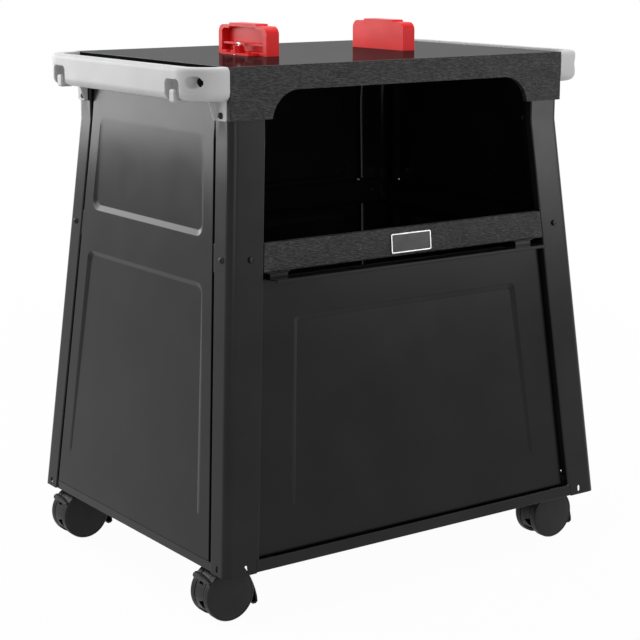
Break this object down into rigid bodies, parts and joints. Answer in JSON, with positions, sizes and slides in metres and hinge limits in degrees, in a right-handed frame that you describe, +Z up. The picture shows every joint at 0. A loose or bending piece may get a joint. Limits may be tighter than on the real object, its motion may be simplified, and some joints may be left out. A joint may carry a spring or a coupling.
{
  "type": "grill cart",
  "caption": "Splayed black steel grill cart with an open shelf bay, a drop-down door, side handles, red locators on the table and braked twin-wheel casters.",
  "frame": {"origin": "the floor point under the middle of the cart", "axes": "+Z up, -Y towards the door, +X towards the right handle as seen from the front"},
  "size_m": [0.7028, 0.541, 0.806],
  "materials": {
    "table_gloss": "gloss black enamel, mirror-like",
    "textured_black": "black wrinkle powder coat",
    "body_black": "satin black powder coat",
    "door_black": "satin black powder coat",
    "handle_grey": "light grey moulded plastic, fine satin",
    "locator_red": "red moulded plastic, satin",
    "screw_black": "black zinc",
    "screw_light": "bright plated",
    "badge_silver": "bright rim",
    "badge_dark": "blank gloss black",
    "zinc_steel": "zinc plated",
    "catch_black": "black moulded plastic",
    "caster_black": "black nylon",
    "lever_black": "black nylon"
  },
  "bodies": {
    "cabinet": {"badge_face": "badge_dark", "badge_frame": "badge_silver", "bottom_rail": "body_black", "bottom_shelf": "body_black", "caster_bolts": "zinc_steel", "caster_plate_front_left": "zinc_steel", "caster_plate_front_right": "zinc_steel", "caster_plate_rear_left": "zinc_steel", "caster_plate_rear_right": "zinc_steel", "door_catch_left": "catch_black", "door_catch_right": "catch_black", "frame_screws": "screw_black", "front_fascia": "textured_black", "handle_left": "handle_grey", "handle_right": "handle_grey", "handle_screws": "screw_black", "hinge_bracket_left": "body_black", "hinge_bracket_right": "body_black", "hinge_pin_left": "zinc_steel", "hinge_pin_right": "zinc_steel", "locator_left": "locator_red", "locator_right": "locator_red", "locator_screws": "screw_light", "mid_rail": "textured_black", "post_front_left": "body_black", "post_front_right": "body_black", "post_rear_left": "body_black", "post_rear_right": "body_black", "rear_brace": "body_black", "rear_panel": "body_black", "side_brace_left": "body_black", "side_brace_right": "body_black", "side_panel_left": "body_black", "side_panel_right": "body_black", "top_panel": "table_gloss"},
    "door": {"door_panel": "door_black", "strike_plate_left": "body_black", "strike_plate_right": "body_black"},
    "swivel_front_left": {"caster_hood_front_left": "caster_black", "caster_axle_front_left": "zinc_steel"},
    "near_wheel_front_left": {"wheel_near_front_left": "caster_black"},
    "far_wheel_front_left": {"wheel_far_front_left": "caster_black"},
    "brake_front_left": {"brake_lever_front_left": "lever_black"},
    "swivel_front_right": {"caster_hood_front_right": "caster_black", "caster_axle_front_right": "zinc_steel"},
    "near_wheel_front_right": {"wheel_near_front_right": "caster_black"},
    "far_wheel_front_right": {"wheel_far_front_right": "caster_black"},
    "brake_front_right": {"brake_lever_front_right": "lever_black"},
    "swivel_rear_left": {"caster_hood_rear_left": "caster_black", "caster_axle_rear_left": "zinc_steel"},
    "near_wheel_rear_left": {"wheel_near_rear_left": "caster_black"},
    "far_wheel_rear_left": {"wheel_far_rear_left": "caster_black"},
    "brake_rear_left": {"brake_lever_rear_left": "lever_black"},
    "swivel_rear_right": {"caster_hood_rear_right": "caster_black", "caster_axle_rear_right": "zinc_steel"},
    "near_wheel_rear_right": {"wheel_near_rear_right": "caster_black"},
    "far_wheel_rear_right": {"wheel_far_rear_right": "caster_black"},
    "brake_rear_right": {"brake_lever_rear_right": "lever_black"}
  },
  "joints": [
    {"name": "door_hinge", "type": "hinge", "parent": "cabinet", "child": "door", "pos_m": [0, -0.25216, 0.1017], "axis": [1, 0, 0], "range_deg": [0, 90]},
    {"name": "caster_swivel_front_left", "type": "hinge", "parent": "cabinet", "child": "swivel_front_left", "pos_m": [-0.3015, -0.212, 0.0832], "axis": [0, 0, 1], "continuous": true},
    {"name": "near_wheel_roll_front_left", "type": "hinge", "parent": "swivel_front_left", "child": "near_wheel_front_left", "pos_m": [-0.3135, -0.2305, 0.0383], "axis": [0, 1, 0], "continuous": true},
    {"name": "far_wheel_roll_front_left", "type": "hinge", "parent": "swivel_front_left", "child": "far_wheel_front_left", "pos_m": [-0.3135, -0.1935, 0.0383], "axis": [0, 1, 0], "continuous": true},
    {"name": "brake_press_front_left", "type": "hinge", "parent": "swivel_front_left", "child": "brake_front_left", "pos_m": [-0.34005, -0.212, 0.05362], "axis": [0, -1, 0], "range_deg": [0, 10]},
    {"name": "caster_swivel_front_right", "type": "hinge", "parent": "cabinet", "child": "swivel_front_right", "pos_m": [0.3015, -0.212, 0.0832], "axis": [0, 0, 1], "continuous": true},
    {"name": "near_wheel_roll_front_right", "type": "hinge", "parent": "swivel_front_right", "child": "near_wheel_front_right", "pos_m": [0.2895, -0.2305, 0.0383], "axis": [0, 1, 0], "continuous": true},
    {"name": "far_wheel_roll_front_right", "type": "hinge", "parent": "swivel_front_right", "child": "far_wheel_front_right", "pos_m": [0.2895, -0.1935, 0.0383], "axis": [0, 1, 0], "continuous": true},
    {"name": "brake_press_front_right", "type": "hinge", "parent": "swivel_front_right", "child": "brake_front_right", "pos_m": [0.26295, -0.212, 0.05362], "axis": [0, -1, 0], "range_deg": [0, 10]},
    {"name": "caster_swivel_rear_left", "type": "hinge", "parent": "cabinet", "child": "swivel_rear_left", "pos_m": [-0.3015, 0.212, 0.0832], "axis": [0, 0, 1], "continuous": true},
    {"name": "near_wheel_roll_rear_left", "type": "hinge", "parent": "swivel_rear_left", "child": "near_wheel_rear_left", "pos_m": [-0.3135, 0.1935, 0.0383], "axis": [0, 1, 0], "continuous": true},
    {"name": "far_wheel_roll_rear_left", "type": "hinge", "parent": "swivel_rear_left", "child": "far_wheel_rear_left", "pos_m": [-0.3135, 0.2305, 0.0383], "axis": [0, 1, 0], "continuous": true},
    {"name": "brake_press_rear_left", "type": "hinge", "parent": "swivel_rear_left", "child": "brake_rear_left", "pos_m": [-0.34005, 0.212, 0.05362], "axis": [0, -1, 0], "range_deg": [0, 10]},
    {"name": "caster_swivel_rear_right", "type": "hinge", "parent": "cabinet", "child": "swivel_rear_right", "pos_m": [0.3015, 0.212, 0.0832], "axis": [0, 0, 1], "continuous": true},
    {"name": "near_wheel_roll_rear_right", "type": "hinge", "parent": "swivel_rear_right", "child": "near_wheel_rear_right", "pos_m": [0.2895, 0.1935, 0.0383], "axis": [0, 1, 0], "continuous": true},
    {"name": "far_wheel_roll_rear_right", "type": "hinge", "parent": "swivel_rear_right", "child": "far_wheel_rear_right", "pos_m": [0.2895, 0.2305, 0.0383], "axis": [0, 1, 0], "continuous": true},
    {"name": "brake_press_rear_right", "type": "hinge", "parent": "swivel_rear_right", "child": "brake_rear_right", "pos_m": [0.26295, 0.212, 0.05362], "axis": [0, -1, 0], "range_deg": [0, 10]}
  ]
}
